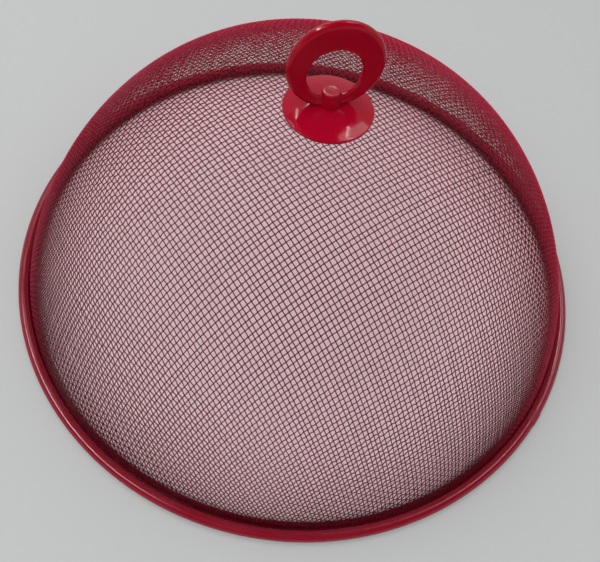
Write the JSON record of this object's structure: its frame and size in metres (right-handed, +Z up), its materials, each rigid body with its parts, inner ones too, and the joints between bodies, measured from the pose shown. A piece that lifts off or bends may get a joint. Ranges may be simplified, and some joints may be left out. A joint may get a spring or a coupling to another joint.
{
  "type": "food cover",
  "caption": "Domed wire mesh cover for food, with a rolled sheet rim to stand on and an upright ring handle on a domed flange.",
  "frame": {"origin": "centre of the circle that the rim stands on, at the level of the rim's foot", "axes": "+Z up through the handle; +X in the plane of the ring handle; +Y through its finger hole"},
  "size_m": [0.3, 0.3, 0.1474],
  "materials": {
    "red_coated_mesh": "semi-gloss deep red coating on steel wire",
    "red_coated_sheet": "gloss deep red coating on sheet steel",
    "steel_wire": "plain drawn wire, hidden in the rim",
    "red_plastic": "glossy moulded red plastic",
    "zinc_steel": "bright zinc plate"
  },
  "bodies": {
    "root": {"mesh_dome": "red_coated_mesh", "rim_strip": "red_coated_sheet", "rim_joiner": "red_coated_sheet", "rim_core_wire": "steel_wire", "handle_ring": "red_plastic", "handle_flange": "red_plastic", "backing_washer": "zinc_steel", "handle_screw": "zinc_steel"}
  },
  "joints": []
}
